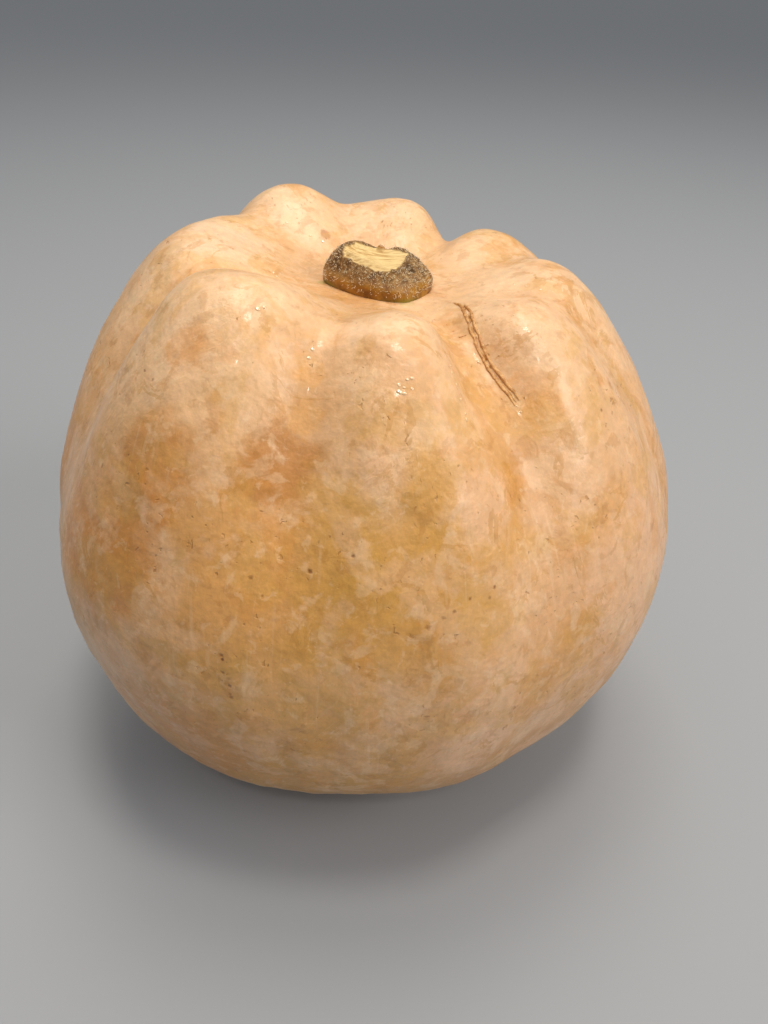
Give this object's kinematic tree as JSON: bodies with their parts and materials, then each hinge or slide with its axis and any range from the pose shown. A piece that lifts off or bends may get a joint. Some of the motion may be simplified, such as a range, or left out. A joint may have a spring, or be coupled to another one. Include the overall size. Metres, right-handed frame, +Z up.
{
  "type": "round ribbed winter squash",
  "caption": "Whole round winter squash with soft ribs, a deep groove or two and the stub of its cut woody stem.",
  "frame": {"origin": "centre of the flat foot at the blossom end, on the surface that the squash stands on", "axes": "+Z up through the stem, -Y towards the side that the picture shows, +X to that viewer's right"},
  "size_m": [0.1845, 0.1899, 0.1657],
  "materials": {
    "skin": "smooth waxy squash rind, satin",
    "stem": "dry corky stem, straw-coloured where it was cut"
  },
  "bodies": {
    "root": {"fruit": "skin", "stem": "stem"}
  },
  "joints": []
}
